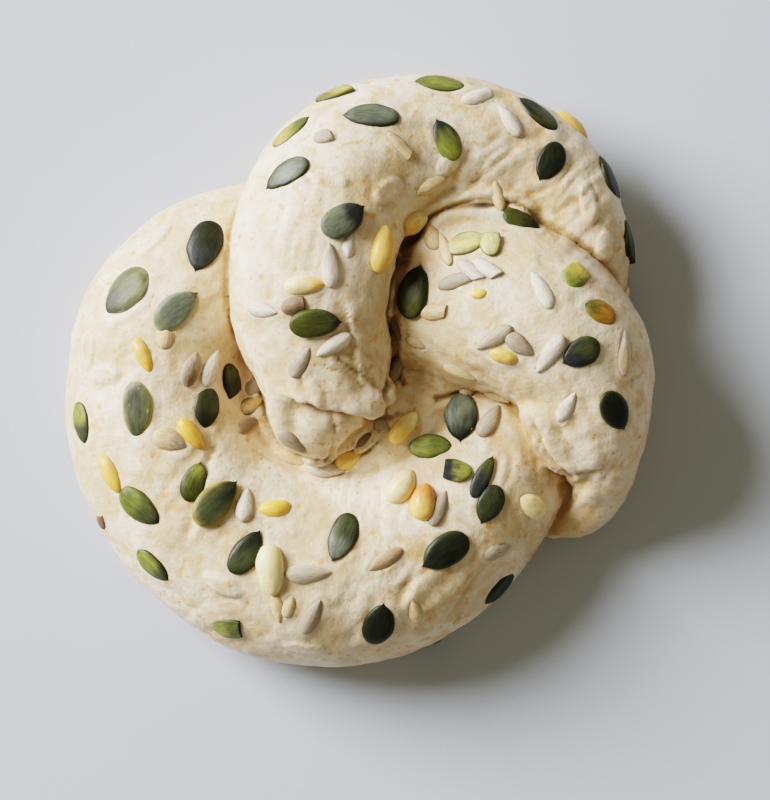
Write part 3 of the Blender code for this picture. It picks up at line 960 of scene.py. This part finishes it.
def dough_material():
    """Raw dough: ivory, moist, with bran flecks and flour; painted golden shade in its
    creases and beside its seams, painted dark shade in its deep folds, a painted highlight on
    its crests.
    """
    nodes = Nodes("raw_dough")
    place = nodes.place()
    # The crease masks carry painted shade into the creases; the crest mask carries a painted
    # highlight.
    crease = nodes.ramp(nodes.attribute("crease").outputs["Fac"], 0.2, 3.0)
    edge = nodes.ramp(nodes.attribute("fine_crease").outputs["Fac"], 0.02, 0.22)
    crest_highlight = nodes.ramp(nodes.attribute("fine_crease").outputs["Fac"], -0.02, -0.14)
    seam = nodes.attribute("seam").outputs["Fac"]
    near_seam = nodes.attribute("near_seam").outputs["Fac"]
    cloud = nodes.ramp(nodes.noise(place, 60, 5, 0.62, 0.4), 0.38, 0.62)
    colour = nodes.mix(cloud, (0.71, 0.55, 0.34), (0.92, 0.8, 0.63))
    patch = nodes.ramp(nodes.noise(place, 150, 4, 0.6, 0.8), 0.5, 0.68)
    where = nodes.ramp(nodes.noise(place, 24, 2), 0.36, 0.58)
    patch = nodes.math("MULTIPLY", nodes.math("MULTIPLY", patch, where), 0.9)
    colour = nodes.mix(patch, colour, (0.74, 0.47, 0.22))
    mottle = nodes.ramp(nodes.noise(place, 380, 6, 0.7, 0.5), 0.5, 0.68)
    colour = nodes.mix(nodes.math("MULTIPLY", mottle, 0.5), colour, (0.7, 0.45, 0.22))
    milky = nodes.ramp(nodes.noise(place, 210, 4, 0.6, 1.2), 0.55, 0.7)
    colour = nodes.mix(nodes.math("MULTIPLY", milky, 0.5), colour, (0.94, 0.83, 0.67))
    # Painted shade: a ragged golden tint beside the lines where strands meet.
    ragged = nodes.ramp(nodes.noise(place, 130, 4, 0.6), 0.35, 0.6)
    golden = nodes.math("MULTIPLY", nodes.math("MULTIPLY", near_seam, ragged), 0.6)
    colour = nodes.mix(golden, colour, (0.72, 0.47, 0.21))
    # Painted shade: golden brown deep in the wide creases.
    colour = nodes.mix(nodes.math("MULTIPLY", crease, 0.65), colour, (0.58, 0.37, 0.165))
    # Painted shade: browner in the narrow creases and folds.
    colour = nodes.mix(nodes.math("MULTIPLY", edge, 0.6), colour, (0.54, 0.33, 0.14))
    # Painted shade: dark brown along the lines where two strands meet.
    colour = nodes.mix(nodes.math("MULTIPLY", seam, 0.5), colour, (0.3, 0.185, 0.08))
    shade = nodes.attribute("shade").outputs["Fac"]
    colour = nodes.mix(nodes.math("MULTIPLY", shade, 0.9), colour, (0.08, 0.048, 0.02))
    # Painted highlight: paler on the crests.
    colour = nodes.mix(nodes.math("MULTIPLY", crest_highlight, 0.4), colour, (0.94, 0.82, 0.66))
    bran = flecks(nodes, place, 4.6 * MM, 1.6 * MM, 0.45)
    colour = nodes.mix(nodes.math("MULTIPLY", bran, 0.95), colour, (0.75, 0.41, 0.17))
    small = flecks(nodes, place, 2.1 * MM, 0.8 * MM, 0.4)
    colour = nodes.mix(nodes.math("MULTIPLY", small, 0.75), colour, (0.68, 0.37, 0.16))
    dark = flecks(nodes, place, 4.5 * MM, 0.55 * MM, 0.35)
    colour = nodes.mix(nodes.math("MULTIPLY", dark, 0.75), colour, (0.24, 0.11, 0.036))
    shader = nodes.shader
    nodes.put(shader.inputs["Base Color"], colour)
    wet = nodes.noise(place, 140, 3)
    nodes.put(shader.inputs["Roughness"], nodes.ramp(wet, 0.35, 0.7, 0.36, 0.58))
    shader.inputs["Specular IOR Level"].default_value = 0.4
    shader.inputs["Subsurface Weight"].default_value = 0.1
    shader.inputs["Subsurface Radius"].default_value = (1, 0.5, 0.22)
    shader.inputs["Subsurface Scale"].default_value = 1.4 * MM
    grain = nodes.noise(place, 1400, 4, 0.6)
    pits = nodes.noise(place, 480, 4, 0.55, 0.3)
    pores = flecks(nodes, place, 2.6 * MM, 0.7 * MM, 0.4)
    pits = nodes.math("MULTIPLY_ADD", pores, -0.2, pits)
    normal = nodes.bump(pits, 0.65, 0.4 * MM)
    nodes.put(shader.inputs["Normal"], nodes.bump(grain, 0.4, 0.14 * MM, normal))
    return nodes.material


def seed_streaks(nodes, fine):
    """Noise drawn out along each seed, and where on the seed a point lies."""
    spot = nodes.attribute("spot").outputs["Vector"]
    return spot, nodes.noise(nodes.stretch(spot, (1.2, fine, 3.7)), 2.2, 4, 0.6)


def pumpkin_material():
    """Hulled pumpkin seeds: dark to yellowish green, satin, with a paler thin skin."""
    nodes = Nodes("pumpkin_seed")
    spot, streaks = seed_streaks(nodes, 3.0)
    tint = nodes.attribute("tint").outputs["Color"]
    rim = nodes.attribute("rim").outputs["Fac"]
    patches = nodes.noise(nodes.stretch(spot, (0.8, 1.1, 4.3)), 1.1, 2, 0.5, 0.6)
    light = nodes.mix(1.0, tint, (1.45, 1.4, 1.05), "MULTIPLY")
    shade = nodes.mix(1.0, tint, (0.6, 0.62, 0.62), "MULTIPLY")
    colour = nodes.mix(nodes.ramp(streaks, 0.3, 0.7), shade, tint)
    patch = nodes.math("MULTIPLY", nodes.ramp(patches, 0.45, 0.7), 0.55)
    colour = nodes.mix(patch, colour, light)
    colour = nodes.mix(nodes.math("MULTIPLY", rim, 0.35), colour, shade)
    along = nodes.node("ShaderNodeSeparateXYZ", {"Vector": spot}).outputs[0]
    tip = nodes.math("MULTIPLY", nodes.ramp(along, 0.66, 0.92), 0.75)
    colour = nodes.mix(tip, colour, (0.014, 0.016, 0.01))
    torn = nodes.noise(nodes.stretch(spot, (1.6, 1.9, 6.1)), 1.7, 4, 0.65, 0.4)
    worn = nodes.math("MULTIPLY_ADD", rim, 0.12, torn)
    left = nodes.attribute("film").outputs["Fac"]
    limit = nodes.math("MULTIPLY_ADD", left, -0.32, 0.78)
    over = nodes.math("SUBTRACT", worn, limit)
    film = nodes.math("MULTIPLY", nodes.ramp(over, 0.0, 0.06), 0.75)
    colour = nodes.mix(film, colour, (0.5, 0.48, 0.36))
    shader = nodes.shader
    nodes.put(shader.inputs["Base Color"], colour)
    gloss = nodes.math("MULTIPLY_ADD", film, 0.2, 0.42)
    nodes.put(shader.inputs["Roughness"], gloss)
    shader.inputs["Specular IOR Level"].default_value = 0.35
    pores = nodes.noise(nodes.place(), 2200, 3)
    normal = nodes.bump(streaks, 0.35, 0.25 * MM)
    normal = nodes.bump(film, 0.6, 0.12 * MM, normal)
    nodes.put(shader.inputs["Normal"], nodes.bump(pores, 0.25, 0.08 * MM, normal))
    return nodes.material


def sunflower_material():
    """Hulled sunflower kernels: dry, grey to cream, with lengthwise furrows."""
    nodes = Nodes("sunflower_seed")
    spot, streaks = seed_streaks(nodes, 5.0)
    tint = nodes.attribute("tint").outputs["Color"]
    rim = nodes.attribute("rim").outputs["Fac"]
    shade = nodes.mix(1.0, tint, (0.7, 0.65, 0.58), "MULTIPLY")
    colour = nodes.mix(nodes.ramp(streaks, 0.35, 0.6), shade, tint)
    blotch = nodes.noise(nodes.stretch(spot, (1, 1.4, 4.1)), 1.6, 3, 0.6)
    blotch = nodes.math("MULTIPLY", nodes.ramp(blotch, 0.5, 0.75), 0.5)
    colour = nodes.mix(blotch, colour, (0.4, 0.35, 0.29))
    # Painted shade: darker towards the edges of each kernel.
    colour = nodes.mix(nodes.math("MULTIPLY", rim, 0.4), colour, (0.3, 0.22, 0.14))
    shader = nodes.shader
    nodes.put(shader.inputs["Base Color"], colour)
    nodes.put(shader.inputs["Roughness"], nodes.ramp(streaks, 0.3, 0.7, 0.5, 0.72))
    shader.inputs["Subsurface Weight"].default_value = 0.1
    shader.inputs["Subsurface Scale"].default_value = 1 * MM
    pores = nodes.noise(nodes.place(), 2600, 3)
    normal = nodes.bump(streaks, 0.4, 0.2 * MM)
    nodes.put(shader.inputs["Normal"], nodes.bump(pores, 0.3, 0.08 * MM, normal))
    return nodes.material


def pine_material():
    """Pine nuts: smooth and waxy, ivory to golden, a little browner at the tip."""
    nodes = Nodes("pine_nut")
    spot, streaks = seed_streaks(nodes, 1.4)
    tint = nodes.attribute("tint").outputs["Color"]
    shade = nodes.mix(1.0, tint, (0.94, 0.84, 0.64), "MULTIPLY")
    colour = nodes.mix(nodes.ramp(streaks, 0.3, 0.6), shade, tint)
    along = nodes.node("ShaderNodeSeparateXYZ", {"Vector": spot}).outputs[0]
    tip = nodes.math("MULTIPLY", nodes.ramp(along, 0.75, 1.0), 0.4)
    colour = nodes.mix(tip, colour, (0.55, 0.3, 0.1))
    shader = nodes.shader
    nodes.put(shader.inputs["Base Color"], colour)
    nodes.put(shader.inputs["Roughness"], nodes.ramp(streaks, 0.3, 0.7, 0.34, 0.48))
    shader.inputs["Subsurface Weight"].default_value = 0.3
    shader.inputs["Subsurface Radius"].default_value = (1, 0.6, 0.25)
    shader.inputs["Subsurface Scale"].default_value = 1.5 * MM
    pores = nodes.noise(nodes.place(), 1800, 3)
    normal = nodes.bump(streaks, 0.3, 0.2 * MM)
    nodes.put(shader.inputs["Normal"], nodes.bump(pores, 0.25, 0.08 * MM, normal))
    return nodes.material


def floor_material():
    """A plain pale surface, a little cool."""
    nodes = Nodes("pale_floor")
    speckle = nodes.noise(nodes.place(), 40, 4)
    colour = nodes.mix(speckle, (0.53, 0.58, 0.68), (0.55, 0.6, 0.7))
    nodes.put(nodes.shader.inputs["Base Color"], colour)
    nodes.shader.inputs["Roughness"].default_value = 0.8
    return nodes.material


def make_floor():
    mesh = bmesh.new()
    bmesh.ops.create_grid(mesh, x_segments=1, y_segments=1, size=FLOOR_HALF_WIDTH)
    floor = object_from("floor", mesh)
    floor.data.materials.append(floor_material())


def make_window():
    """A large soft light at the upper left, which faces the bread."""
    data = bpy.data.lights.new("window", "AREA")
    data.shape = "DISK"
    data.size = WINDOW_SIZE
    data.energy = WINDOW_POWER
    data.color = WINDOW_COLOUR
    window = bpy.data.objects.new("window", data)
    bpy.context.scene.collection.objects.link(window)
    window.location = WINDOW_PLACE
    window.rotation_mode = "QUATERNION"
    towards = Vector((0, 0, 20 * MM)) - window.location
    window.rotation_quaternion = towards.to_track_quat("-Z", "Y")


def light_scene():
    """The window, and warm pale light from all round."""
    make_window()
    world = bpy.data.worlds.new("studio")
    world.use_nodes = True
    back = world.node_tree.nodes["Background"]
    back.inputs["Color"].default_value = ROOM_COLOUR
    back.inputs["Strength"].default_value = ROOM_STRENGTH
    bpy.context.scene.world = world
    bpy.context.scene.view_settings.view_transform = "Filmic"
    bpy.context.scene.view_settings.look = "High Contrast"


def make_camera():
    """Looks straight down, so that a pixel is PIXEL wide at the height VIEW_PLANE."""
    data = bpy.data.cameras.new("camera")
    data.sensor_fit = "VERTICAL"
    data.sensor_height = SENSOR_HEIGHT
    data.lens = SENSOR_HEIGHT * (EYE_HEIGHT - VIEW_PLANE) / (VIEW_SIZE[1] * PIXEL)
    data.clip_start = 0.01
    camera = bpy.data.objects.new("camera", data)
    bpy.context.scene.collection.objects.link(camera)
    camera.location = on_view_plane(*VIEW_CENTRE)
    camera.location.z = EYE_HEIGHT
    bpy.context.scene.camera = camera


def dress():
    """Makes every piece that the render shows of the bread."""
    dough = make_dough()
    lump_dough(dough)
    places = strew_seeds(dough)
    press_seeds(dough, places)
    # Crease depths, which the material turns into painted shade in creases and a painted
    # highlight on crests.
    store(dough, "crease", crease_depth(dough, WIDE_ROUNDS) / MM)
    store(dough, "fine_crease", crease_depth(dough, NARROW_ROUNDS) / MM)
    dough.data.shade_smooth()
    dough.data.materials.clear()
    dough.data.materials.append(dough_material())
    pieces = [(dough, "dough")]
    for name, kind, slot, material in (
        ("pumpkin_seeds", "pumpkin", "pumpkin_seed", pumpkin_material),
        ("sunflower_seeds", "sunflower", "sunflower_seed", sunflower_material),
        ("pine_nuts", "pine", "pine_nut", pine_material),
    ):
        seeds = make_seeds(name, kind, places)
        seeds.data.materials.append(material())
        pieces.append((seeds, slot))
    for piece, slot in pieces:
        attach(piece, "root")
        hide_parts(NODE)


make_camera()
dress()
make_floor()
light_scene()
